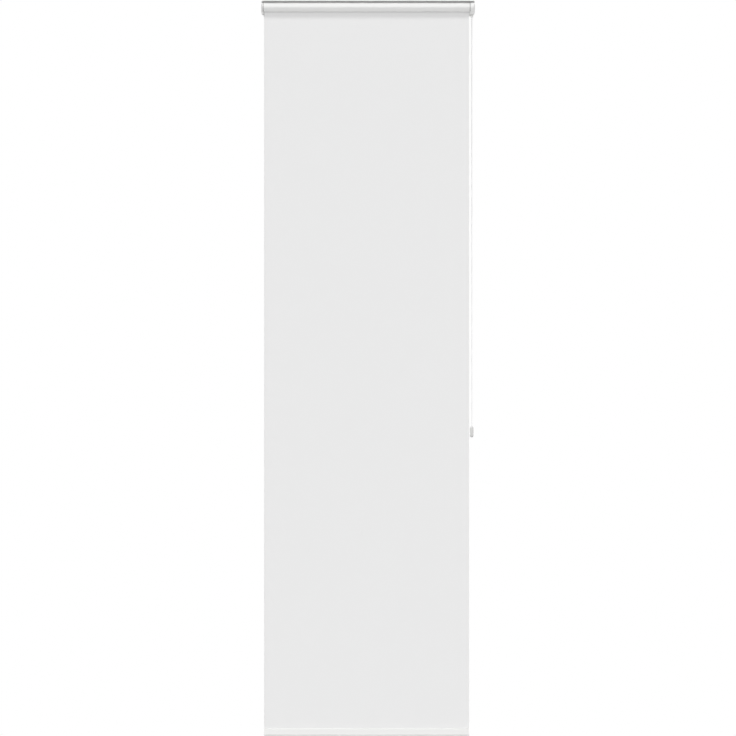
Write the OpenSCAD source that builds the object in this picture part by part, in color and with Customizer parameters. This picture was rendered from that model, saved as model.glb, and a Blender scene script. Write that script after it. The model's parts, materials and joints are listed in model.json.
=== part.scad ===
// Shower roller blind: half cassette, chain drive, wound cloth and bottom bar.
// Millimetres, +Z up, +X to the chain side, the room at -Y.
// The origin lies on the ceiling, midway between the two clip holes.

/* [Blind] */
// Overall width across the end caps
blind_width = 700; // [500:10:1600]
// Height from the ceiling to the foot of the bottom bar
blind_height = 2413; // [1700:1:2700]
// Distance of the roller's axis below the ceiling
axis_drop = 38; // [37:0.5:46]

/* [Cassette] */
// Height of the cover's top plate above the axis
cover_top = 27.6; // [27:0.1:30]
// Distance of the cover's nose in front of the axis
cover_front = 33; // [32.5:0.1:36]
// Height of the nose above the axis
nose_height = 15; // [13:0.5:17]
// Radius of the nose
nose_radius = 6; // [4:0.5:8]
// Lean of the cover above the nose, in degrees
upper_slope = 22; // [15:1:30]
// Radius of the cover's upper edge
brow_radius = 3; // [2:0.5:5]
// Tilt at which the nose runs into the curved lower face
nose_end = 22; // [15:1:28]
// Tilt of the lower face at the lip
lower_slope = 50; // [44:1:56]
// Wall of the extruded profile
profile_wall = 1.4; // [1.2:0.1:1.8]
// Distance from the axis to the outside of the back wall
back_depth = 26.4; // [25.5:0.1:34]
// Reach of the back wall below the axis
back_drop = 8; // [4:0.5:14]
// Inward fold at the front cover's lower edge
lip_fold = 0.8; // [0.4:0.1:1.2]
// Space between the ceiling and the profile's top
ceiling_gap = 1.2; // [0.6:0.1:2]
// Distance of the clip channel's front wall from the axis
channel_front = 6; // [4:0.5:8]
// Inward lips that the clips hold
channel_lip = 3; // [2.6:0.1:4]
// Reach of the top flange in front of the axis
flange_reach = 26; // [14:0.5:27]
// Distance of the front screw port in front of the axis
port_reach = 23; // [20:0.5:24]
// Bore of the screw ports
port_bore = 3; // [2.4:0.1:3.2]
// Wall round a screw port
port_wall = 1.2; // [1:0.1:1.4]

/* [End caps] */
// Thickness of the idle side's cap
left_cap_t = 7.5; // [7:0.1:12]
// Thickness of the chain side's cap
right_cap_t = 16.5; // [16:0.1:20]
// Overhang of the caps round the profile
cap_rim = 0.8; // [0.4:0.1:1.2]
// Rounding of the caps' outer edges
cap_edge = 5.5; // [3:0.5:6.5]
// Rounding of the caps' outer lower corner
cap_foot = 7; // [3:0.5:7]
// Rounding of the caps' front lower corner
chin_radius = 6; // [3:0.5:8]
// Length of the spigot in the clip channel
spigot_len = 9; // [5:1:16]
// Width of the gap between the cover and the rim of a cap
seam_width = 2.2; // [1.4:0.1:2.6]
// Depth of that gap under the cover's skin
seam_depth = 1.8; // [1:0.1:1.9]
// Outer wall of the chain housing
housing_wall = 3; // [2.5:0.1:4]
// Radius of the chain housing's cavity
housing_radius = 20.5; // [19:0.1:21.5]

/* [Clips and screws] */
// Distance between the two clip holes
clip_spacing = 500; // [200:10:560]
// Length of a clip along the profile
clip_len = 40; // [24:1:80]
// Thickness of a clip's top plate
clip_plate = 1.5; // [1:0.1:2]
// Thickness of a clip's legs and hooks
clip_leg = 1.2; // [0.8:0.1:1.6]
// Reach of a clip's hooks under the lips
clip_hook = 2; // [1:0.1:2.4]
// Diameter of a clip's screw hole
clip_hole = 4.5; // [3:0.1:6]
// Diameter of the cap screws' shank
screw_d = 2.9; // [2.2:0.1:2.9]
// Length of the cap screws' shank
screw_len = 14; // [10:1:25]
// Diameter of the cap screws' head
screw_head_d = 5.4; // [4.5:0.1:5.6]
// Height of the cap screws' head
screw_head_h = 1.9; // [1.2:0.1:2.5]
// Cap material under a screw's head
screw_grip = 4; // [2.5:0.1:5]

/* [Roller] */
// Outer radius of the roller tube
tube_radius = 15.5; // [15.2:0.1:17]
// Wall of the roller tube
tube_wall = 1.1; // [0.9:0.1:1.3]
// Bore of the tube's spline channel
spline_bore = 3.2; // [2.8:0.1:3.4]
// Width of the slots that the cloth passes through
spline_slot = 1; // [0.8:0.1:1.4]
// Wall of the spline channel
spline_wall = 1.1; // [0.8:0.1:1.2]
// Diameter of the tube's spline rod
spline_d = 2.8; // [2:0.1:2.8]
// Length of the idle plug in the tube
plug_len = 30; // [15:1:60]
// Radius of the stub axle
axle_radius = 4; // [3:0.1:5]
// Length of the bearing bush
bush_len = 4.8; // [4:0.1:5.2]
// Wall of the bearing bush
bush_wall = 2; // [1.2:0.1:3]

/* [Cloth and bottom bar] */
// Thickness of the coated cloth
cloth_t = 0.25; // [0.2:0.05:0.5]
// Safety turns that stay on the tube
safety_turns = 2; // [1:1:4]
// Height of the bottom bar
bar_height = 26; // [22:1:40]
// Thickness of the bottom bar
bar_t = 9; // [8:0.5:14]
// Wall of the bottom bar
bar_wall = 1.2; // [1:0.1:1.6]
// Height of the fine groove above the bar's foot
bar_groove_z = 5; // [4:0.5:6]
// Width and depth of the fine groove
bar_groove = 0.9; // [0.5:0.1:1.1]
// Bore of the bar's spline channel
bar_bore = 3.8; // [3:0.1:4.2]
// Diameter of the bar's spline rod
bar_spline_d = 3.2; // [2.6:0.1:3.4]
// Thickness of the bar's end caps
bar_cap_t = 2; // [1.5:0.1:4]
// Length of the bar caps' plugs
bar_plug_len = 9; // [4:1:20]

/* [Chain drive] */
// Pockets round the chain wheel
pockets = 16; // [14:1:16]
// Distance from bead to bead
bead_pitch = 6; // [5.9:0.05:6.1]
// Diameter of a bead
bead_d = 4.5; // [4:0.1:4.6]
// Diameter of the chain's string
string_d = 1.2; // [0.8:0.1:1.6]
// Beads on one hanging strand
strand_beads = 226; // [80:1:260]
// Distance of the chain's plane from the blind's right end
chain_inset = 9.75; // [9.5:0.05:10]
// Width of the chain wheel
wheel_width = 9; // [8:0.1:9.4]
// Height of the wheel's flanges above the bead circle
wheel_rim = 1.8; // [1:0.1:2]
// Depth of the webs between the pockets below the bead circle
web_drop = 1.4; // [1.3:0.1:1.6]
// Radius of the fixed clutch core
core_radius = 6; // [5:0.1:6.2]
// Length of the drive hub in the tube
hub_len = 36; // [34:1:60]
// Wall of the drive hub's sleeve round the springs
hub_sleeve = 1.8; // [1.2:0.1:2.2]
// Ribs of the drive hub that grip the tube
hub_ribs = 8; // [4:2:10]
// Width of a hub rib
hub_rib_w = 2; // [1.4:0.1:2.4]
// Radius of the spring chamber in the drive hub
chamber_radius = 8.3; // [8:0.1:8.6]
// Wire of the wrap springs
spring_wire = 1.1; // [0.8:0.1:1.3]
// Coils of one wrap spring
spring_coils = 9; // [5:1:9]
// Drive dogs between the wheel and the hub
dogs = 3; // [2:1:4]

/* [Chain weight] */
// Radius of the chain's bend inside the weight
loop_radius = 2.9; // [2.6:0.1:3.4]
// Height of the weight
weight_h = 36; // [32:1:60]
// Width of the weight across the two strands
weight_w = 16; // [15:0.5:24]
// Thickness of the weight seen from the room
weight_t = 11.5; // [9:0.5:14]
// Solid foot of the weight below the chain's bend
weight_foot = 8.8; // [6:0.1:12]
// Height of the weight's waist above its foot
waist_z = 11; // [7:0.5:14]
// Width of the waist's groove
waist_w = 1.6; // [1:0.1:3]
// Depth of the waist's groove
waist_depth = 0.7; // [0.3:0.1:0.9]

/* [Clearances] */
// Space between a piece and its seat
seat_gap = 0.3; // [0.2:0.05:0.5]
// Radial play of a running fit
run_gap = 0.06; // [0.03:0.01:0.1]
// Radial play of pieces that are pushed together
push_gap = 0.05; // [0.02:0.01:0.1]
// Space between the tube's ends and the caps
end_gap = 1.6; // [1.4:0.1:3]
// Flange of the plug and the hub over the tube's ends
tube_flange = 1; // [0.6:0.1:1]
// Space between the cloth's edge and the tube's end
edge_gap = 0.4; // [0:0.1:5]
// Space round a bead in its pocket
pocket_gap = 0.25; // [0.2:0.05:0.4]

/* [Hidden] */
$fn = 96;
bead_fn = 24;
bite = 0.3;
past = 1;

x_left = -blind_width / 2;
x_right = blind_width / 2;
cap_left_in = x_left + left_cap_t;
cap_right_in = x_right - right_cap_t;
tube_left = cap_left_in + end_gap;
tube_right = cap_right_in - end_gap;
cloth_left = tube_left + edge_gap;
cloth_right = tube_right - edge_gap;

rail_top = axis_drop - ceiling_gap;
lip_under = rail_top - profile_wall;
back_in = back_depth - profile_wall;
slot_front = -channel_front + channel_lip;
slot_back = back_in - channel_lip;
clip_y = (slot_front + slot_back) / 2;
chin = back_drop + cap_rim;

nose = [nose_radius - cover_front, nose_height];
nose_steps = 16;
brow_steps = 8;
brow_z = cover_top - brow_radius;
brow_out = (nose_radius - brow_radius - (brow_z - nose_height) * sin(upper_slope)) / cos(upper_slope);
brow = [nose[0] - brow_out, brow_z];
belly_steps = 8;
belly_radius = (nose_height - nose_radius * sin(nose_end)) / (sin(lower_slope) - sin(nose_end));
belly = nose + (belly_radius - nose_radius) * [cos(nose_end), sin(nose_end)];
cap_front = cover_front + cap_rim;
cap_top = cover_top + cap_rim;

port_radius = port_bore / 2 + port_wall;
port_z = cover_top - profile_wall - port_radius + bite;
ports = [[-port_reach, port_z], [back_in - port_radius + bite, port_z]];

tube_in = tube_radius - tube_wall;
spline_radius = spline_bore / 2 + spline_wall;
spline_y = tube_in - spline_bore / 2 + tube_wall / 3;
insert_radius = tube_in - push_gap;
roll_in = tube_radius + push_gap;
roll_radius = roll_in + (safety_turns + 0.2) * cloth_t;
panel_y = -roll_radius - seat_gap - cloth_t;

bar_foot = axis_drop - blind_height;
bar_y = panel_y + cloth_t / 2;
bar_bore_z = bar_height - bar_wall - bar_bore / 2 - 0.6;
chamber_low = bar_groove_z + bar_groove + bar_wall;
chamber_high = bar_bore_z - bar_bore / 2 - bar_wall;
chamber_half = bar_t / 2 - bar_wall;
panel_low = bar_foot + bar_bore_z + bar_spline_d / 2 + seat_gap;

bead_r = bead_d / 2;
string_r = string_d / 2;
pitch_radius = bead_pitch / (2 * sin(180 / pockets));
chain_x = x_right - chain_inset;
wheel_in = chain_x - wheel_width / 2;
wheel_out = chain_x + wheel_width / 2;
core_seat = x_right - housing_wall;
core_flange = core_seat - wheel_out - seat_gap;
core_flange_r = core_radius + 3;
core_key = 7;
core_key_t = 1.6;
hub_out = tube_right + tube_flange;
hub_in = tube_right - hub_len;
hub_web = 4;
hub_collar = 7;
ring_t = 1;
ring_radius = core_radius + 2;
ring_groove = core_radius - 1;
ring_x = hub_in - seat_gap - ring_t;
core_end = ring_x - 1.5;
dog_in = chamber_radius + 0.8;
dog_out = dog_in + 2.2;
dog_width = 4;
dog_len = 4;
spring_len = spring_coils * spring_wire;
spring_x1 = hub_in + hub_web + 2;
spring_x2 = spring_x1 + spring_len + 3;

cord_gap = 0.05;
strand_len = strand_beads * bead_pitch;
strand_lean = asin((pitch_radius - loop_radius) / strand_len);
strand_top = -bead_pitch / 2 - cord_gap;
strand_end = strand_top - strand_len * cos(strand_lean);
bend_arc = PI * loop_radius / 2;
loop_beads = 4;
loop_z = strand_end - cord_gap - ((loop_beads + 0.5) * bead_pitch - bend_arc);
bead_bore = bead_r + 0.35;
weight_low = loop_z - loop_radius - bead_bore - weight_foot;

// Moves a piece drawn about the roller's axis to its place under the ceiling.
module seat() {
    translate([0, -clip_y, -axis_drop]) children();
}

// Extrudes a section drawn in Y and Z along +X from one place to another.
module along_x(from, to) {
    translate([from, 0, 0]) rotate([90, 0, 90]) linear_extrude(to - from) children();
}

// A round bar along +X from one place to another.
module bar_x(from, to, r) {
    translate([from, 0, 0]) rotate([0, 90, 0]) cylinder(r = r, h = to - from);
}

// A rectangle between two corners.
module box2d(low, high) {
    translate(low) square(high - low);
}

module ring2d(outer, inner) {
    difference() {
        circle(outer);
        circle(inner);
    }
}

// Half cassette

// Points of an arc between two tilts, where a tilt of 0 looks to the room and 90 looks up.
function arc_points(centre, radius, from, to, steps, first, last) = [
    for (i = [first:last])
        let (a = from + (to - from) * i / steps)
        centre + radius * [-cos(a), sin(a)]
];

// Depth of the lower face, drawn straight on from the lip, at a level.
function lip_y(inset, level) =
    belly[0] - (belly_radius - inset) / cos(lower_slope) + (belly[1] - level) * tan(lower_slope);

// Front of the cover from its upper edge down to a level, for an outline with an inset.
function cover_front_line(inset, level) = concat(
    arc_points(brow, brow_radius - inset, 90, upper_slope, brow_steps, 0, brow_steps),
    arc_points(nose, nose_radius - inset, upper_slope, -nose_end, nose_steps, 0, nose_steps),
    arc_points(belly, belly_radius - inset, -nose_end, -lower_slope, belly_steps, 1, belly_steps - 1),
    [[lip_y(inset, level), level]]
);

module cover_section() {
    lip = lip_y(0, 0);
    difference() {
        polygon(concat(cover_front_line(0, 0), [[back_depth, 0], [back_depth, cover_top]]));
        polygon(concat(cover_front_line(profile_wall, -past),
                       [[back_depth + past, -past], [back_depth + past, cover_top - profile_wall]]));
    }
    box2d([lip + profile_wall / 2, 0], [lip + profile_wall + lip_fold, profile_wall]);
}

module channel_section() {
    box2d([back_in, -back_drop], [back_depth, rail_top]);
    box2d([-channel_front - profile_wall, cover_top - profile_wall], [-channel_front, rail_top]);
    box2d([-flange_reach, lip_under], [slot_front, rail_top]);
    box2d([slot_back, lip_under], [back_depth, rail_top]);
}

module profile_section() {
    difference() {
        union() {
            cover_section();
            channel_section();
            for (p = ports) translate(p) circle(port_radius);
        }
        for (p = ports) translate(p) circle(port_bore / 2);
    }
}

module cassette_profile() {
    color("#f1f1ef") seat() along_x(cap_left_in, cap_right_in) profile_section();
}

// End caps

module cap_outline() {
    jaw = lip_y(-cap_rim, -past);
    polygon(concat(cover_front_line(-cap_rim, -past), [[past, -past], [past, cap_top]]));
    box2d([jaw, -chin + chin_radius], [past, past]);
    box2d([jaw + chin_radius, -chin], [past, past]);
    translate([jaw + chin_radius, -chin + chin_radius]) circle(chin_radius);
    box2d([0, -chin], [back_depth + cap_rim, rail_top]);
    box2d([-channel_front - profile_wall - cap_rim, 0], [0, rail_top]);
    box2d([-flange_reach - cap_rim, lip_under - cap_rim], [0, rail_top]);
}

// Band round the front that is cut from a cap, down to the lip and back to the channel.
module seam_section() {
    seam_back = -channel_front - profile_wall - cap_rim - past;
    over = cap_rim + past;
    intersection() {
        difference() {
            polygon(concat(cover_front_line(-over, -past), [[past, -past], [past, cover_top + over]]));
            polygon(concat(cover_front_line(seam_depth, -2 * past),
                           [[2 * past, -2 * past], [2 * past, cover_top - seam_depth]]));
        }
        box2d([-2 * cap_front, profile_wall], [seam_back, 2 * cap_top]);
    }
}

// Outline of a slab with its outer face at 0 and both outer edges rounded.
module edge_outline(depth, low, high, low_edge) {
    box2d([0, low + low_edge], [depth, high - cap_edge]);
    box2d([cap_edge, high - 2 * cap_edge], [depth, high]);
    box2d([low_edge, low], [depth, low + 2 * low_edge]);
    translate([cap_edge, high - cap_edge]) circle(cap_edge);
    translate([low_edge, low + low_edge]) circle(low_edge);
}

// Cap with its outer face at x = 0, its edges rounded in front view and in plan.
module cap_body(depth) {
    span = 4 * cap_front;
    intersection() {
        difference() {
            along_x(0, depth) cap_outline();
            along_x(depth - seam_width, depth + past) seam_section();
        }
        rotate([90, 0, 0]) linear_extrude(span, center = true)
            edge_outline(depth + past, -chin, rail_top, cap_foot);
        linear_extrude(span, center = true)
            edge_outline(depth + past, -cap_front, back_depth + cap_rim, cap_edge);
    }
}

module cap_spigot(depth) {
    along_x(depth, depth + spigot_len) difference() {
        box2d([-channel_front + seat_gap, cover_top + seat_gap],
              [back_in - seat_gap, lip_under - seat_gap]);
        box2d([-channel_front + seat_gap + 2 * profile_wall, cover_top + seat_gap + profile_wall],
              [back_in - seat_gap - 2 * profile_wall, lip_under]);
    }
}

module cap_screw_holes(depth) {
    for (p = ports) translate([0, p[0], p[1]]) {
        bar_x(-past, depth + past, screw_d / 2 + push_gap * 3);
        bar_x(-past, depth - screw_grip, screw_head_d / 2 + seat_gap);
    }
}

module left_end_cap() {
    color("#ececea") seat() translate([x_left, 0, 0]) difference() {
        union() {
            cap_body(left_cap_t);
            cap_spigot(left_cap_t);
        }
        cap_screw_holes(left_cap_t);
        bar_x(left_cap_t - bush_len - push_gap, left_cap_t + past, axle_radius + bush_wall + push_gap);
    }
}

module right_end_cap() {
    key = core_key + 4 * push_gap;
    color("#ececea") seat() translate([x_right, 0, 0]) mirror([1, 0, 0]) difference() {
        union() {
            cap_body(right_cap_t);
            cap_spigot(right_cap_t);
        }
        cap_screw_holes(right_cap_t);
        bar_x(housing_wall, right_cap_t + past, housing_radius);
        translate([housing_wall - core_key_t - push_gap, -key / 2, -key / 2])
            cube([core_key_t + past, key, key]);
    }
}

// Clips and screws

module clip_section() {
    hook_top = lip_under - seat_gap;
    front = slot_front + seat_gap;
    back = slot_back - seat_gap;
    box2d([front, axis_drop - clip_plate], [back, axis_drop]);
    for (leg = [[front, -1], [back, 1]]) {
        inner = leg[0] - leg[1] * clip_leg;
        tip = leg[0] + leg[1] * clip_hook;
        box2d([min(leg[0], inner), hook_top - clip_leg], [max(leg[0], inner), axis_drop]);
        box2d([min(tip, inner), hook_top - clip_leg], [max(tip, inner), hook_top]);
    }
}

module mounting_clips() {
    color("#c9ccce") seat() for (side = [-1, 1]) translate([side * clip_spacing / 2, 0, 0])
        difference() {
            along_x(-clip_len / 2, clip_len / 2) clip_section();
            translate([0, clip_y, axis_drop - clip_plate - past])
                cylinder(d = clip_hole, h = clip_plate + 2 * past);
        }
}

// Screw with its head seated at x = 0 and its shank along +X.
module cap_screw() {
    slot = screw_d * 0.3;
    difference() {
        union() {
            bar_x(-screw_head_h, 0, screw_head_d / 2);
            bar_x(-screw_head_h, screw_len, screw_d / 2);
        }
        for (turn = [0, 90]) rotate([turn, 0, 0])
            translate([-screw_head_h - past, -screw_d / 2, -slot / 2])
                cube([screw_head_h / 2 + past, screw_d, slot]);
    }
}

module end_cap_screws() {
    color("#b9bcbf") seat() for (p = ports) translate([0, p[0], p[1]]) {
        translate([cap_left_in - screw_grip, 0, 0]) cap_screw();
        translate([cap_right_in + screw_grip, 0, 0]) mirror([1, 0, 0]) cap_screw();
    }
}

// Idle side

module idle_bush() {
    color("#d8d8d4") seat() difference() {
        bar_x(cap_left_in - bush_len, cap_left_in, axle_radius + bush_wall);
        bar_x(cap_left_in - bush_len - past, cap_left_in + past, axle_radius + run_gap);
    }
}

// Room for the tube's spline channel in a piece that is pushed into the tube.
module spline_room(from, to) {
    translate([0, 0, spline_y]) bar_x(from, to, spline_radius + push_gap * 3);
}

module idle_plug() {
    wall = 3;
    color("#dcdcd8") seat() difference() {
        union() {
            bar_x(tube_left, tube_left + plug_len, insert_radius);
            bar_x(tube_left - tube_flange, tube_left, tube_radius);
            bar_x(cap_left_in - bush_len + seat_gap, tube_left, axle_radius);
        }
        spline_room(tube_left, tube_left + plug_len + past);
        bar_x(tube_left + wall, tube_left + plug_len + past, spline_y - spline_radius - wall);
    }
}

// Roller

module tube_section() {
    difference() {
        union() {
            ring2d(tube_radius, tube_in);
            intersection() {
                translate([0, spline_y]) circle(spline_radius);
                circle(tube_radius - tube_wall / 2);
            }
        }
        translate([0, spline_y]) circle(spline_bore / 2);
        box2d([-spline_slot / 2, spline_y], [spline_slot / 2, tube_radius + past]);
    }
}

module roller_tube() {
    color("#bfc3c7") seat() along_x(tube_left, tube_right) tube_section();
}

module tube_spline() {
    color("#e4e4e0") seat() translate([0, 0, spline_y]) bar_x(cloth_left, cloth_right, spline_d / 2);
}

module fabric_roll() {
    color("#e6e6e4") seat() along_x(cloth_left, cloth_right) ring2d(roll_radius, roll_in);
}

// Cloth and bottom bar

module fabric_panel() {
    color("#ebebeb") seat() translate([cloth_left, panel_y, panel_low])
        cube([cloth_right - cloth_left, cloth_t, -panel_low]);
}

module bar_outline() {
    foot = bar_t / 2;
    crown = bar_t / 3;
    translate([0, foot]) circle(foot);
    box2d([-foot, foot], [foot, bar_height - crown]);
    box2d([-foot + crown, foot], [foot - crown, bar_height]);
    for (side = [-1, 1]) translate([side * (foot - crown), bar_height - crown]) circle(crown);
}

module bar_grooves() {
    for (side = [-1, 1]) translate([side * bar_t / 2, bar_groove_z])
        square(bar_groove * [2, 1], center = true);
}

module chamber_outline(gap) {
    box2d([-chamber_half + gap, chamber_low + gap], [chamber_half - gap, chamber_high - gap]);
}

module bar_section() {
    difference() {
        bar_outline();
        bar_grooves();
        chamber_outline(0);
        translate([0, bar_bore_z]) circle(bar_bore / 2);
        box2d([-spline_slot / 2, bar_bore_z], [spline_slot / 2, bar_height + past]);
    }
}

// Moves a piece drawn about the bar's foot to its place.
module bar_seat() {
    seat() translate([0, bar_y, bar_foot]) children();
}

module bar_profile() {
    color("#f0f0ee") bar_seat() along_x(cloth_left + bar_cap_t, cloth_right - bar_cap_t) bar_section();
}

module bar_spline() {
    color("#e4e4e0") bar_seat() translate([0, 0, bar_bore_z])
        bar_x(cloth_left + bar_cap_t, cloth_right - bar_cap_t, bar_spline_d / 2);
}

// Bar cap with its outer face at x = 0.
module bar_cap() {
    along_x(0, bar_cap_t) difference() {
        bar_outline();
        bar_grooves();
        box2d([-spline_slot / 2, bar_bore_z], [spline_slot / 2, bar_height + past]);
    }
    along_x(bar_cap_t, bar_cap_t + bar_plug_len) chamber_outline(seat_gap / 2);
}

module bar_cap_left() {
    color("#ececea") bar_seat() translate([cloth_left, 0, 0]) bar_cap();
}

module bar_cap_right() {
    color("#ececea") bar_seat() translate([cloth_right, 0, 0]) mirror([1, 0, 0]) bar_cap();
}

// Chain drive

module clutch_core() {
    color("#d2d2ce") seat() difference() {
        union() {
            bar_x(core_end, core_seat, core_radius);
            bar_x(core_seat - core_flange, core_seat, core_flange_r);
            translate([core_seat - past, -core_key / 2, -core_key / 2])
                cube([core_key_t + past, core_key, core_key]);
        }
        along_x(ring_x, ring_x + ring_t) ring2d(core_radius + past, ring_groove);
        bar_x(core_end - past, hub_out, core_radius / 2);
    }
}

module wrap_spring() {
    middle = core_radius + push_gap + spring_wire / 2;
    rotate([0, 90, 0]) rotate_extrude() {
        box2d([middle - spring_wire / 2, spring_wire / 2], [middle, spring_len - spring_wire / 2]);
        for (i = [0 : spring_coils - 1])
            translate([middle, (i + 0.5) * spring_wire]) circle(spring_wire / 2, $fn = bead_fn);
    }
}

module wrap_springs() {
    color("#a9adb1") seat() for (x = [spring_x1, spring_x2]) translate([x, 0, 0]) wrap_spring();
}

module core_retainer() {
    mouth = ring_groove * 1.4;
    color("#a9adb1") seat() along_x(ring_x, ring_x + ring_t) difference() {
        ring2d(ring_radius, ring_groove + push_gap);
        box2d([-mouth / 2, -ring_radius - past], [mouth / 2, 0]);
    }
}

// Blocks round the axis that carry the turn from the wheel to the hub.
module dog_ring(from, to, gap) {
    width = dog_width + 2 * gap;
    for (i = [0 : dogs - 1]) rotate([i * 360 / dogs + 180, 0, 0])
        translate([from, -width / 2, dog_in - gap])
            cube([to - from, width, dog_out - dog_in + 2 * gap]);
}

// Sleeve round the springs with ribs that reach the tube's inside.
module hub_section() {
    circle(chamber_radius + hub_sleeve);
    intersection() {
        circle(insert_radius);
        for (i = [0 : hub_ribs - 1]) rotate((i + 0.5) * 360 / hub_ribs)
            box2d([chamber_radius, -hub_rib_w / 2], [insert_radius + past, hub_rib_w / 2]);
    }
}

module drive_hub() {
    color("#d6d6d2") seat() difference() {
        union() {
            along_x(hub_in, tube_right - hub_collar) hub_section();
            bar_x(tube_right - hub_collar, tube_right, insert_radius);
            bar_x(tube_right, hub_out, tube_radius);
        }
        spline_room(hub_in - past, tube_right);
        bar_x(hub_in - past, hub_out + past, core_radius + run_gap);
        bar_x(hub_in + hub_web, hub_out + past, chamber_radius);
        dog_ring(hub_out - dog_len - seat_gap, hub_out + past, push_gap);
    }
}

module chain_wheel() {
    rim = pitch_radius + wheel_rim;
    lane = bead_r + 2 * pocket_gap;
    color("#e2e2de") seat() difference() {
        union() {
            bar_x(wheel_in, wheel_out, pitch_radius - web_drop);
            bar_x(wheel_in, chain_x - lane, rim);
            bar_x(chain_x + lane, wheel_out, rim);
            bar_x(hub_out, wheel_in, dog_out + past);
            dog_ring(hub_out - dog_len, wheel_in, 0);
        }
        bar_x(hub_out - dog_len - past, wheel_out + past, core_radius + run_gap);
        for (i = [0 : pockets - 1]) rotate([i * 360 / pockets, 0, 0])
            translate([chain_x, pitch_radius, 0]) sphere(bead_r + pocket_gap, $fn = bead_fn);
    }
}

// Bead chain

module bead() {
    sphere(bead_r, $fn = bead_fn);
}

// One hanging strand: beads on a string, turned as one piece.
module chain_strand(side) {
    seat() translate([chain_x, side * pitch_radius, strand_top]) rotate([-side * strand_lean, 0, 0])
        rotate_extrude($fn = bead_fn) intersection() {
            union() {
                box2d([0, -strand_len], [string_r, 0]);
                for (i = [0 : strand_beads - 1])
                    translate([0, -(i + 0.5) * bead_pitch]) circle(bead_r, $fn = bead_fn);
            }
            box2d([0, -strand_len - past], [bead_d, past]);
        }
}

module chain_front_strand() {
    color("#fafafa") chain_strand(-1);
}

module chain_rear_strand() {
    color("#fafafa") chain_strand(1);
}

// Half a turn of string in the chain's plane, upwards from the axis level.
module string_bend(radius) {
    rotate([90, 0, 90]) rotate_extrude(angle = 180) translate([radius, 0])
        circle(string_r, $fn = bead_fn);
}

module chain_over_wheel() {
    step = 360 / pockets;
    color("#fafafa") seat() translate([chain_x, 0, 0]) {
        string_bend(pitch_radius);
        for (i = [0 : pockets / 2]) rotate([i * step, 0, 0]) translate([0, pitch_radius, 0]) bead();
        for (side = [-1, 1]) translate([0, side * pitch_radius, -bead_pitch / 2])
            cylinder(r = string_r, h = bead_pitch / 2, $fn = bead_fn);
    }
}

module chain_bottom_loop() {
    leg = (loop_beads + 0.5) * bead_pitch - bend_arc;
    color("#fafafa") seat() translate([chain_x, 0, loop_z]) {
        rotate([180, 0, 0]) string_bend(loop_radius);
        translate([0, 0, -loop_radius]) bead();
        for (side = [-1, 1]) translate([0, side * loop_radius, 0]) {
            cylinder(r = string_r, h = leg, $fn = bead_fn);
            for (i = [1 : loop_beads]) translate([0, 0, i * bead_pitch - bend_arc]) bead();
        }
    }
}

// Chain weight

// Upright outline with a round foot and a rounded crown.
module drop_outline(width, inset) {
    foot = width / 2;
    crown = width / 3;
    half = foot - inset;
    translate([0, foot]) circle(half);
    box2d([-half, foot], [half, weight_h - crown]);
    box2d([-foot + crown, foot], [foot - crown, weight_h - inset]);
    for (side = [-1, 1]) translate([side * (foot - crown), weight_h - crown]) circle(crown - inset);
}

module weight_body(inset) {
    intersection() {
        along_x(-weight_t, weight_t) drop_outline(weight_w, inset);
        rotate([90, 0, 0]) linear_extrude(2 * weight_w, center = true) drop_outline(weight_t, inset);
    }
}

module weight_waist() {
    difference() {
        translate([-weight_w, -weight_w, waist_z]) cube([2 * weight_w, 2 * weight_w, waist_w]);
        weight_body(waist_depth);
    }
}

module weight_bore() {
    translate([0, 0, loop_z - weight_low]) {
        rotate([180, 0, 0]) rotate([90, 0, 90]) rotate_extrude(angle = 180) intersection() {
            translate([loop_radius, 0]) circle(bead_bore);
            box2d([0, -bead_bore], [loop_radius + bead_bore, bead_bore]);
        }
        for (side = [-1, 1]) translate([0, side * loop_radius, 0]) cylinder(r = bead_bore, h = weight_h);
    }
}

module weight_half(side) {
    color("#e3e3e1") seat() translate([chain_x, 0, weight_low]) difference() {
        intersection() {
            weight_body(0);
            translate([min(0, side * weight_w), -weight_w, -past])
                cube([weight_w, 2 * weight_w, weight_h + 2 * past]);
        }
        weight_waist();
        weight_bore();
    }
}

module chain_weight_left() {
    weight_half(-1);
}

module chain_weight_right() {
    weight_half(1);
}

cassette_profile();
left_end_cap();
right_end_cap();
mounting_clips();
end_cap_screws();
idle_bush();
clutch_core();
wrap_springs();
core_retainer();
fabric_panel();
chain_front_strand();
chain_rear_strand();
chain_over_wheel();
chain_bottom_loop();
chain_weight_left();
chain_weight_right();
roller_tube();
fabric_roll();
tube_spline();
drive_hub();
chain_wheel();
idle_plug();
bar_profile();
bar_spline();
bar_cap_left();
bar_cap_right();
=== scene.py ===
"""Dresses the shower roller blind: cloth, bead chain, finishes, studio and camera."""

import json
import logging
import math
from dataclasses import dataclass, field
from enum import Enum
from typing import Any, Optional, Sequence

import bmesh
import bpy
from mathutils import Matrix, Vector


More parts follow.
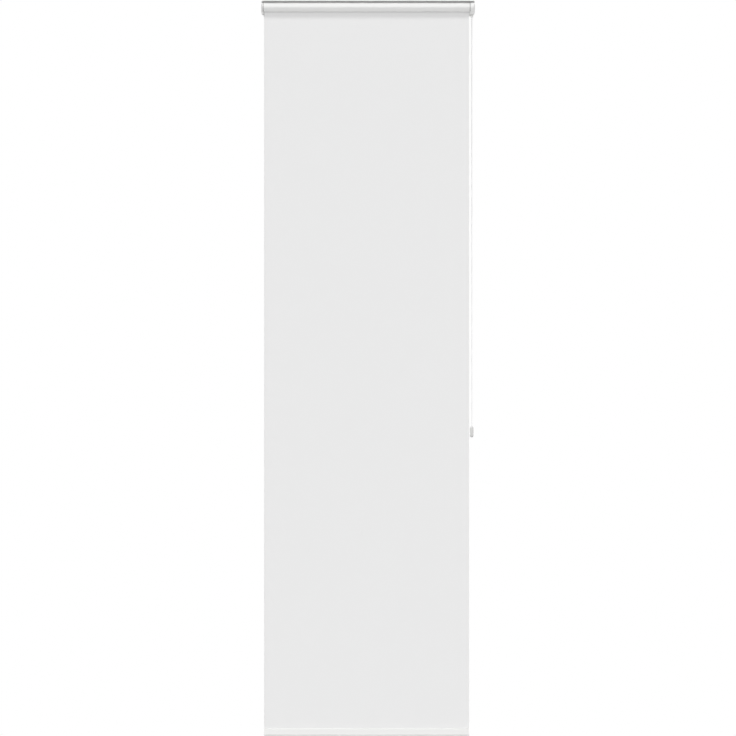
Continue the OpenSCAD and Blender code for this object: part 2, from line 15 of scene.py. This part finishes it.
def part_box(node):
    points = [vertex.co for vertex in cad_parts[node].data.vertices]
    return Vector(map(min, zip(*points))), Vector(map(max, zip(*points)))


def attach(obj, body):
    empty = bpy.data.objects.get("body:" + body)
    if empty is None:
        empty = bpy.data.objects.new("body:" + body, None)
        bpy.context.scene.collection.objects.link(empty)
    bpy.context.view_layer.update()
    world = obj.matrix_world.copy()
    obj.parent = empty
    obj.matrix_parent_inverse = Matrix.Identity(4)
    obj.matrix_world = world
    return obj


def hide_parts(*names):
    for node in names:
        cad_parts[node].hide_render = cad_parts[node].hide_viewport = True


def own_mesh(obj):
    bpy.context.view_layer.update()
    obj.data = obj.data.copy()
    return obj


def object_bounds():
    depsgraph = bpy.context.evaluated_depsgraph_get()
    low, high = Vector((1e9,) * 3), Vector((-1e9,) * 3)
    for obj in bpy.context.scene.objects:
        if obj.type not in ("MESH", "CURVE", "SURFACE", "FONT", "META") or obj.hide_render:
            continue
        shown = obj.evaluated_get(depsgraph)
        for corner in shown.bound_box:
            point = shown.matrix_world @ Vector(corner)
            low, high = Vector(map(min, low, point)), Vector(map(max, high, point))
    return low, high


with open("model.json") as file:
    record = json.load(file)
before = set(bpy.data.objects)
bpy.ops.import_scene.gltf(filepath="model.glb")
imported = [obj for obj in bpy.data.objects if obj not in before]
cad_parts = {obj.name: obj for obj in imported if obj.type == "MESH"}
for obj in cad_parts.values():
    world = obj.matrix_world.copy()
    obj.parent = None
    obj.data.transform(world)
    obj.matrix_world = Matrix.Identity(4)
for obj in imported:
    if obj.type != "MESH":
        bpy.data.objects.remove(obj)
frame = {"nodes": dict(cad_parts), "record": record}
CAD_LOW, CAD_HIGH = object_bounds()

LOG = logging.getLogger("roller_blind")
MM = 0.001


class Body(Enum):
    """The bodies of the blind that a piece can ride on."""

    CASSETTE = "cassette"
    ROLLER = "roller"
    BAR = "bottom_bar"


class Slot(Enum):
    """The record's material slots that new pieces take their finish from."""

    CLOTH = "coated_cloth"
    CHAIN = "chain_moulding"


def linear(code: str) -> tuple[float, float, float, float]:
    """Turns an sRGB hex colour into the linear colour that a shader takes.

    Args:
        code: Six hex digits with a leading #.

    Returns:
        Red, green, blue and an alpha of 1.
    """
    parts = [int(code[i:i + 2], 16) / 255 for i in (1, 3, 5)]
    red, green, blue = (
        v / 12.92 if v <= 0.04045 else ((v + 0.055) / 1.055) ** 2.4 for v in parts
    )
    return red, green, blue, 1.0


def add_node(
    tree: bpy.types.NodeTree,
    kind: str,
    inputs: Optional[dict[Any, Any]] = None,
    **settings: Any,
) -> bpy.types.Node:
    """Adds one node with its settings, and sets or links its inputs.

    Args:
        tree: The node tree that gets the node.
        kind: The node's type name.
        inputs: Values or output sockets, by the input's name or number.
        settings: The node's own properties.

    Returns:
        The new node.
    """
    node = tree.nodes.new(kind)
    for name, value in settings.items():
        setattr(node, name, value)
    for name, value in (inputs or {}).items():
        if isinstance(value, bpy.types.NodeSocket):
            tree.links.new(value, node.inputs[name])
        else:
            node.inputs[name].default_value = value
    return node


@dataclass(frozen=True)
class Finish:
    """A plain finish: one colour, with a fine surface given by noise.

    The noise gives the eye the small unevenness of a real surface: grain_mm is its
    size, grain_depth_mm its height and mottle how much it shifts the roughness. Where
    a seam width is set, grooves and seams up to about that width get painted shade:
    an ambient-occlusion node darkens the colour there.
    """

    name: str
    colour: str
    roughness: float
    metallic: float = 0.0
    ior: float = 1.5
    grain_mm: float = 1.0
    grain_depth_mm: float = 0.02
    grain_stretch: tuple[float, float, float] = (1.0, 1.0, 1.0)
    mottle: float = 0.06
    shade: str = ""
    coat: float = 0.0
    seam_shade_mm: float = 0.0

    def build(self) -> bpy.types.Material:
        """Makes the material with its nodes.

        Returns:
            The finished material.
        """
        material = bpy.data.materials.new(self.name)
        material.use_nodes = True
        tree = material.node_tree
        tree.nodes.clear()
        grain = self.grain(tree)
        bump = add_node(
            tree,
            "ShaderNodeBump",
            {"Height": grain.outputs[0], "Strength": 1.0, "Distance": self.grain_depth_mm * MM},
        )
        rough = add_node(
            tree,
            "ShaderNodeMapRange",
            {
                "Value": grain.outputs[0],
                "To Min": max(0.02, self.roughness - self.mottle),
                "To Max": min(1.0, self.roughness + self.mottle),
            },
        )
        shader = add_node(
            tree,
            "ShaderNodeBsdfPrincipled",
            {
                "Base Color": self.tint(tree),
                "Roughness": rough.outputs[0],
                "Metallic": self.metallic,
                "Normal": bump.outputs[0],
                "Coat Weight": self.coat,
                "Coat Roughness": 0.12,
            },
        )
        if not self.metallic:
            shader.inputs["IOR"].default_value = self.ior
        self.soften(shader)
        add_node(tree, "ShaderNodeOutputMaterial", {"Surface": shader.outputs[0]})
        return material

    def place(self, tree: bpy.types.NodeTree, scale: Sequence[float]) -> bpy.types.NodeSocket:
        """Gives object coordinates scaled by a vector.

        Args:
            tree: The node tree in work.
            scale: The scale along X, Y and Z.

        Returns:
            The socket with the scaled place.
        """
        source = add_node(tree, "ShaderNodeTexCoord")
        mapping = add_node(
            tree,
            "ShaderNodeMapping",
            {"Vector": source.outputs["Object"], "Scale": tuple(scale)},
        )
        return mapping.outputs[0]

    def grain(self, tree: bpy.types.NodeTree) -> bpy.types.Node:
        """Makes the noise of the surface.

        Args:
            tree: The node tree in work.

        Returns:
            The noise node, with its value first.
        """
        per_metre = 1 / (self.grain_mm * MM)
        scale = [per_metre * s for s in self.grain_stretch]
        return add_node(
            tree,
            "ShaderNodeTexNoise",
            {"Vector": self.place(tree, scale), "Scale": 1.0, "Detail": 2.0, "Roughness": 0.5},
        )

    def tint(self, tree: bpy.types.NodeTree) -> Any:
        """Gives the colour, with painted shade in narrow gaps, or drifting between two shades.

        Args:
            tree: The node tree in work.

        Returns:
            A colour or the socket that carries it.
        """
        if self.seam_shade_mm:
            # Painted shade: an ambient-occlusion node darkens the colour in seams and grooves
            # about this wide.
            gap = add_node(
                tree,
                "ShaderNodeAmbientOcclusion",
                {"Color": linear(self.colour), "Distance": self.seam_shade_mm * MM},
                samples=8,
            )
            return gap.outputs["Color"]
        if not self.shade:
            return linear(self.colour)
        drift = add_node(
            tree,
            "ShaderNodeTexNoise",
            {"Vector": self.place(tree, (9.0, 9.0, 9.0)), "Scale": 1.0, "Detail": 3.0},
        )
        mix = add_node(
            tree,
            "ShaderNodeMix",
            {0: drift.outputs[0], 6: linear(self.colour), 7: linear(self.shade)},
            data_type="RGBA",
        )
        return mix.outputs[2]

    def soften(self, shader: bpy.types.Node) -> None:
        """Lets a soft finish set more of the shader; a hard one sets nothing."""


@dataclass(frozen=True)
class CoatedCloth(Finish):
    """Woven polyester with a water-repellent coat and heat-sealed side edges.

    The coat evens out the weave, so the eye gets a flat off-white with a faint thread
    structure, and a slightly greyer band along the left edge only, as in the photograph.
    """

    thread_mm: float = 1.2
    edge_left: float = 0.0
    edge_width: float = 0.003
    edge_colour: str = "#e6e6e6"

    def grain(self, tree: bpy.types.NodeTree) -> bpy.types.Node:
        """Makes a plain weave from two crossed waves.

        The real threads lie about 0.3 mm apart, too fine to show, so they are drawn coarser.

        Args:
            tree: The node tree in work.

        Returns:
            The node that carries the weave's height.
        """
        turns = 1 / (2 * self.thread_mm * MM)
        waves = [
            add_node(
                tree,
                "ShaderNodeTexWave",
                {
                    "Vector": self.place(tree, (turns, turns, turns)),
                    "Scale": 1 / 3.18,
                    "Distortion": 0.4,
                    "Detail": 1.0,
                },
                bands_direction=direction,
            )
            for direction in ("X", "Z")
        ]
        return add_node(
            tree,
            "ShaderNodeMath",
            {0: waves[0].outputs[1], 1: waves[1].outputs[1]},
            operation="MULTIPLY",
        )

    def tint(self, tree: bpy.types.NodeTree) -> Any:
        """Gives the cloth's colour, greyer in a band along the left edge.

        Args:
            tree: The node tree in work.

        Returns:
            The socket that carries the colour.
        """
        source = add_node(tree, "ShaderNodeTexCoord")
        split = add_node(tree, "ShaderNodeSeparateXYZ", {0: source.outputs["Object"]})
        band = add_node(
            tree,
            "ShaderNodeMapRange",
            {
                "Value": split.outputs[0],
                "From Min": self.edge_left + self.edge_width * 1.2,
                "From Max": self.edge_left + self.edge_width,
            },
        )
        mix = add_node(
            tree,
            "ShaderNodeMix",
            {0: band.outputs[0], 6: linear(self.colour), 7: linear(self.edge_colour)},
            data_type="RGBA",
        )
        return mix.outputs[2]

    def soften(self, shader: bpy.types.Node) -> None:
        """Adds the faint sheen of fibres under the coat."""
        shader.inputs["Sheen Weight"].default_value = 0.08
        shader.inputs["Sheen Roughness"].default_value = 0.5


def new_piece(
    name: str, shape: bmesh.types.BMesh, material: bpy.types.Material, body: Body
) -> bpy.types.Object:
    """Turns a bmesh into a finished object at the origin that rides on a body.

    Args:
        name: The piece's name.
        shape: The bmesh, which is freed.
        material: The piece's material.
        body: The body that it moves with.

    Returns:
        The new object.
    """
    mesh = bpy.data.meshes.new(name)
    shape.to_mesh(mesh)
    shape.free()
    mesh.materials.append(material)
    piece = bpy.data.objects.new(name, mesh)
    bpy.context.scene.collection.objects.link(piece)
    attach(piece, body.value)
    LOG.info("%s: %d faces on %s", name, len(mesh.polygons), body.value)
    return piece


def shade_smooth(piece: bpy.types.Object) -> None:
    """Shades all faces of a piece smooth."""
    for polygon in piece.data.polygons:
        polygon.use_smooth = True


@dataclass
class Cloth:
    """The coated cloth: the hanging panel and the turns on the tube."""

    thickness: float = 0.25 * MM
    ripple: float = 0.25 * MM
    columns: int = 48
    rows: int = 160
    turns: float = 2.2
    steps_per_turn: int = 96
    finish: Finish = field(init=False)
    panel_low: Vector = field(init=False)
    panel_high: Vector = field(init=False)

    def __post_init__(self) -> None:
        """Reads the panel's place from the frame and sets the finish."""
        self.panel_low, self.panel_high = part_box("fabric_panel")
        self.finish = CoatedCloth(
            name="polyester cloth, woven and coated",
            colour="#ececec",
            roughness=0.62,
            mottle=0.05,
            grain_depth_mm=0.1,
            edge_left=self.panel_low.x,
        )

    def build(self) -> None:
        """Builds the panel and the roll and dresses them."""
        material = self.finish.build()
        panel = self.hang_panel(material)
        self.wind_roll(material)
        LOG.info("cloth hangs %.3f m", self.panel_high.z - self.panel_low.z)

    def hang_panel(self, material: bpy.types.Material) -> bpy.types.Object:
        """Makes the hanging panel.

        Args:
            material: The cloth's material.

        Returns:
            The panel.
        """
        low, high = self.panel_low, self.panel_high
        size = high - low
        middle = (low + high) / 2
        shape = bmesh.new()
        bmesh.ops.create_grid(shape, x_segments=self.columns, y_segments=self.rows, size=0.5)
        turn = Matrix.Rotation(math.radians(90), 4, "X")
        bmesh.ops.transform(shape, matrix=turn, verts=shape.verts)
        bmesh.ops.scale(shape, vec=(size.x, 1.0, size.z), verts=shape.verts)
        bmesh.ops.translate(shape, vec=(middle.x, middle.y, middle.z), verts=shape.verts)
        for vert in shape.verts:
            hang = (high.z - vert.co.z) / size.z
            slack = math.sin(math.pi * hang)
            wave = math.sin(vert.co.x * 21.0 + 1.3) * math.cos(hang * 9.0)
            vert.co.y += self.ripple * slack * wave
        self.sharpen_rim(shape)
        panel = new_piece("cloth_panel", shape, material, Body.CASSETTE)
        shade_smooth(panel)
        wall = panel.modifiers.new("thickness", "SOLIDIFY")
        wall.thickness = self.thickness
        wall.offset = 0.0
        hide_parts("fabric_panel")
        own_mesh(panel)
        return panel

    def sharpen_rim(self, shape: bmesh.types.BMesh) -> None:
        """Marks the cut edges sharp, so that the flat cloth isn't shaded round at its rim.

        Args:
            shape: The bmesh of the cloth.
        """
        for edge in shape.edges:
            if edge.is_boundary:
                edge.smooth = False

    def wind_roll(self, material: bpy.types.Material) -> bpy.types.Object:
        """Winds the safety turns as one spiral strip that leaves the roll at the front.

        Args:
            material: The cloth's material.

        Returns:
            The roll.
        """
        low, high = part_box("fabric_roll")
        axis = (low + high) / 2
        outer = (high.y - low.y) / 2 - self.thickness / 2
        pitch = self.thickness
        steps = round(self.turns * self.steps_per_turn)
        shape = bmesh.new()
        path = []
        for i in range(steps + 1):
            angle = 2 * math.pi * i / self.steps_per_turn
            radius = outer - pitch * i / self.steps_per_turn
            place = (low.x, axis.y - radius * math.cos(angle), axis.z + radius * math.sin(angle))
            path.append(shape.verts.new(place))
        edges = [shape.edges.new(pair) for pair in zip(path, path[1:])]
        made = bmesh.ops.extrude_edge_only(shape, edges=edges)["geom"]
        moved = [v for v in made if isinstance(v, bmesh.types.BMVert)]
        bmesh.ops.translate(shape, vec=(high.x - low.x, 0, 0), verts=moved)
        bmesh.ops.recalc_face_normals(shape, faces=shape.faces)
        self.sharpen_rim(shape)
        roll = new_piece("cloth_turns", shape, material, Body.ROLLER)
        shade_smooth(roll)
        wall = roll.modifiers.new("thickness", "SOLIDIFY")
        wall.thickness = self.thickness * 0.9
        wall.offset = 0.0
        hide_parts("fabric_roll")
        return roll


@dataclass
class BeadChain:
    """The endless chain: two hanging strands, the stretch on the wheel and the bend below."""

    bead: float = 4.5 * MM
    string: float = 1.2 * MM
    pitch: float = 6.0 * MM
    bead_sides: int = 10
    bead_rings: int = 6
    string_sides: int = 8
    finish: Finish = Finish(
        # Acetal beads moulded on a polyester string: clean white with a waxy gloss.
        name="acetal, moulded beads",
        colour="#fcfcfc",
        roughness=0.28,
        ior=1.48,
        grain_mm=2.0,
        grain_depth_mm=0.02,
        mottle=0.05,
    )

    def build(self) -> None:
        """Builds both hanging strands."""
        material = self.finish.build()
        for side in ("front", "rear"):
            self.hang_strand(side, material)

    def ends(self, node: str) -> tuple[Vector, Vector]:
        """Finds where a strand's string starts and ends.

        Args:
            node: The strand's node.

        Returns:
            The centres of the upper and the lower end.
        """
        points = [v.co for v in frame["nodes"][node].data.vertices]
        top = max(p.z for p in points)
        foot = min(p.z for p in points)
        upper = [p for p in points if top - p.z < self.string / 2]
        lower = [p for p in points if p.z - foot < self.string / 2]
        return (
            sum(upper, Vector()) / len(upper),
            sum(lower, Vector()) / len(lower),
        )

    def mould_bead(self, place: Matrix) -> bpy.types.Mesh:
        """Makes one bead.

        Args:
            place: Where the bead sits and how it is turned.

        Returns:
            The bead's mesh.
        """
        shape = bmesh.new()
        bmesh.ops.create_uvsphere(
            shape,
            u_segments=self.bead_sides,
            v_segments=self.bead_rings,
            radius=self.bead / 2,
            matrix=place,
        )
        mesh = bpy.data.meshes.new("bead")
        shape.to_mesh(mesh)
        shape.free()
        return mesh

    def hang_strand(self, side: str, material: bpy.types.Material) -> bpy.types.Object:
        """Strings the beads of one strand along its straight line.

        Args:
            side: The strand's side, front or rear.
            material: The chain's material.

        Returns:
            The strand.
        """
        node = f"chain_{side}_strand"
        upper, lower = self.ends(node)
        run = lower - upper
        count = round(run.length / self.pitch)
        aim = run.to_track_quat("Z", "Y").to_matrix().to_4x4()
        shape = bmesh.new()
        middle = Matrix.Translation((upper + lower) / 2) @ aim
        bmesh.ops.create_cone(
            shape,
            cap_ends=True,
            segments=self.string_sides,
            radius1=self.string / 2,
            radius2=self.string / 2,
            depth=run.length,
            matrix=middle,
        )
        bead = self.mould_bead(Matrix.Translation(upper + run / (2 * count)) @ aim)
        step = Matrix.Translation(run / count)
        for _ in range(count):
            shape.from_mesh(bead)
            bead.transform(step)
        bpy.data.meshes.remove(bead)
        strand = new_piece(f"chain_{side}", shape, material, Body.CASSETTE)
        shade_smooth(strand)
        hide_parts(node)
        return strand


@dataclass
class Hardware:
    """The rigid pieces that keep the frame's own shape, and their finishes."""

    finishes: dict[str, Finish] = field(default_factory=dict)
    bar_finishes: dict[str, Finish] = field(default_factory=dict)

    def __post_init__(self) -> None:
        """Sets one finish for each of the record's slots, and the bar's own."""
        self.bar_finishes = {
            # Powder coat as on the cassette, in its plain colour; the cassette's copy is darker
            # as painted shade.
            "coated_profile": Finish(
                name="aluminium, extruded bar and powder coated",
                colour="#f0f0ef",
                roughness=0.55,
                grain_mm=1.6,
                grain_depth_mm=0.025,
                mottle=0.05,
            ),
            # ABS of the bar's plug-in caps, a touch lighter than the cassette's caps.
            "white_moulding": Finish(
                name="ABS, moulded bar cap with a fine eroded texture",
                colour="#efefee",
                roughness=0.42,
                ior=1.54,
                grain_mm=0.9,
                grain_depth_mm=0.03,
            ),
        }
        self.finishes = {
            # Polyester powder baked on aluminium: satin white with a faint orange peel.
            "coated_profile": Finish(
                name="aluminium, extruded and powder coated, with painted shade",
                # Painted shade: a darker colour than the bar's copy of this coat stands in for
                # the shade on the cassette.
                colour="#ececeb",
                roughness=0.36,
                grain_mm=1.6,
                grain_depth_mm=0.025,
                mottle=0.05,
                # Painted shade in the seams beside the caps and in the groove under the rail.
                seam_shade_mm=3.0,
            ),
            # ABS from a spark-eroded mould: white, a little softer than the powder coat.
            "white_moulding": Finish(
                name="ABS, moulded with a fine eroded texture",
                colour="#ededec",
                roughness=0.42,
                ior=1.54,
                grain_mm=0.9,
                grain_depth_mm=0.03,
                # Painted shade in the seams between the caps and the cassette.
                seam_shade_mm=3.0,
            ),
            # Natural acetal of bearings and wheels: milky white, waxy and matt.
            "bearing_moulding": Finish(
                name="acetal, moulded natural",
                colour="#ebebe8",
                roughness=0.5,
                ior=1.48,
                grain_mm=1.4,
                grain_depth_mm=0.02,
            ),
            # Steel with bright zinc: cool grey with a slight brushed streak.
            "spring_steel": Finish(
                name="steel, zinc plated",
                colour="#b4b7ba",
                roughness=0.32,
                metallic=1.0,
                grain_mm=0.6,
                grain_stretch=(0.15, 1.0, 1.0),
                grain_depth_mm=0.008,
                shade="#a3a7ab",
            ),
            # Aluminium as it leaves the die: pale grey with drawn lines along its length.
            "bare_aluminium": Finish(
                name="aluminium, extruded mill finish",
                colour="#c3c6c9",
                roughness=0.38,
                metallic=1.0,
                grain_mm=0.8,
                grain_stretch=(0.02, 1.0, 1.0),
                grain_depth_mm=0.012,
                shade="#b7babd",
            ),
            # ABS of the chain weight: light grey, polished mould.
            "weight_moulding": Finish(
                name="ABS, moulded with a polished face",
                colour="#cdcdcc",
                roughness=0.3,
                ior=1.54,
                grain_mm=2.5,
                grain_depth_mm=0.015,
            ),
            "chain_moulding": BeadChain.finish,
        }

    def dress(self) -> None:
        """Gives every node that still shows the finish of its slot."""
        made: dict[Finish, bpy.types.Material] = {}
        bar_nodes = frame["record"]["behaviour"]["bodies"][Body.BAR.value]
        for row in frame["record"]["subparts"]:
            node = frame["nodes"][row["node"]]
            slot = row["material_slot"]
            if node.hide_render or slot not in self.finishes:
                continue
            finish = self.finishes[slot]
            if row["node"] in bar_nodes:
                finish = self.bar_finishes.get(slot, finish)
            if finish not in made:
                made[finish] = finish.build()
            node.data.materials.clear()
            node.data.materials.append(made[finish])
            LOG.info("%s: %s", row["node"], finish.name)


@dataclass(frozen=True)
class Lamp:
    """A broad lamp so far away that it lights the whole height of the blind evenly."""

    name: str
    strength: float
    height_deg: float
    side_deg: float
    spread_deg: float

    def hang(self) -> None:
        """Puts the lamp into the scene, aimed at the blind."""
        light = bpy.data.lights.new(self.name, "SUN")
        light.energy = self.strength
        light.angle = math.radians(self.spread_deg)
        lamp = bpy.data.objects.new(self.name, light)
        lamp.rotation_euler = (
            math.radians(90 - self.height_deg), 0, math.radians(self.side_deg)
        )
        bpy.context.scene.collection.objects.link(lamp)


@dataclass
class Studio:
    """White room light, a pale floor and the camera of the photograph."""

    lens_mm: float = 300.0
    sensor_mm: float = 36.0
    rise: float = 0.6 * MM
    floor_drop: float = 0.03
    floor_half: float = 6.0
    floor_glow: float = 1.0
    sky: float = 0.16
    ground: float = 0.49
    lamps: tuple[Lamp, ...] = (
        Lamp("key", strength=1.34, height_deg=64.0, side_deg=-10.0, spread_deg=10.0),
        Lamp("high fill", strength=0.52, height_deg=45.0, side_deg=6.0, spread_deg=75.0),
        Lamp("front fill", strength=1.1, height_deg=-10.0, side_deg=4.0, spread_deg=75.0),
        Lamp("rear fill", strength=1.9, height_deg=25.0, side_deg=175.0, spread_deg=50.0),
    )

    def build(self) -> None:
        """Sets light, floor and camera."""
        bpy.context.scene.view_settings.view_transform = "Standard"
        self.light_room()
        self.lay_floor()
        self.set_camera()

    def light_room(self) -> None:
        """Lights the room softly, with a bright floor below, before a white ground."""
        world = bpy.data.worlds.new("studio")
        bpy.context.scene.world = world
        world.use_nodes = True
        tree = world.node_tree
        tree.nodes.clear()
        source = add_node(tree, "ShaderNodeTexCoord")
        split = add_node(tree, "ShaderNodeSeparateXYZ", {0: source.outputs["Generated"]})
        level = add_node(
            tree,
            "ShaderNodeMapRange",
            {
                "Value": split.outputs[2],
                "From Min": -0.6,
                "From Max": 0.6,
                "To Min": self.ground,
                "To Max": self.sky,
            },
            interpolation_type="SMOOTHSTEP",
        )
        room = add_node(
            tree, "ShaderNodeBackground", {"Color": (1, 1, 1, 1), "Strength": level.outputs[0]}
        )
        white = add_node(tree, "ShaderNodeBackground", {"Color": (1, 1, 1, 1), "Strength": 1.0})
        ray = add_node(tree, "ShaderNodeLightPath")
        mix = add_node(
            tree,
            "ShaderNodeMixShader",
            {0: ray.outputs["Is Camera Ray"], 1: room.outputs[0], 2: white.outputs[0]},
        )
        add_node(tree, "ShaderNodeOutputWorld", {"Surface": mix.outputs[0]})
        for lamp in self.lamps:
            lamp.hang()

    def lay_floor(self) -> None:
        """Lays a plain pale floor below the blind."""
        shape = bmesh.new()
        bmesh.ops.create_grid(shape, x_segments=1, y_segments=1, size=self.floor_half)
        bmesh.ops.translate(shape, vec=(0, 0, CAD_LOW.z - self.floor_drop), verts=shape.verts)
        mesh = bpy.data.meshes.new("floor")
        shape.to_mesh(mesh)
        shape.free()
        floor = bpy.data.objects.new("floor", mesh)
        bpy.context.scene.collection.objects.link(floor)
        # Opal acrylic of a light table: even white, so that it runs into the white ground.
        material = bpy.data.materials.new("acrylic, opal and lit from below")
        material.use_nodes = True
        tree = material.node_tree
        tree.nodes.clear()
        glow = add_node(
            tree, "ShaderNodeEmission", {"Color": (1, 1, 1, 1), "Strength": self.floor_glow}
        )
        add_node(tree, "ShaderNodeOutputMaterial", {"Surface": glow.outputs[0]})
        mesh.materials.append(material)
        floor.visible_diffuse = False
        floor.visible_glossy = False
        floor.visible_shadow = False

    def set_camera(self) -> None:
        """Looks at the blind straight from the front, so that its height fills the picture."""
        height = CAD_HIGH.z - CAD_LOW.z
        cloth_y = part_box("fabric_panel")[0].y
        distance = height * self.lens_mm / self.sensor_mm - cloth_y
        data = bpy.data.cameras.new("camera")
        data.lens = self.lens_mm
        data.sensor_width = self.sensor_mm
        data.clip_end = 100.0
        camera = bpy.data.objects.new("camera", data)
        camera.location = (0.0, -distance, (CAD_LOW.z + CAD_HIGH.z) / 2 + self.rise)
        camera.rotation_euler = (math.radians(90), 0, 0)
        bpy.context.scene.collection.objects.link(camera)
        bpy.context.scene.camera = camera


def main() -> None:
    """Builds the blind's pieces and the studio in order."""
    logging.basicConfig(level=logging.INFO, format="%(name)s: %(message)s")
    Studio().build()
    BeadChain().build()
    Cloth().build()
    Hardware().dress()


if __name__ == "__main__":
    main()
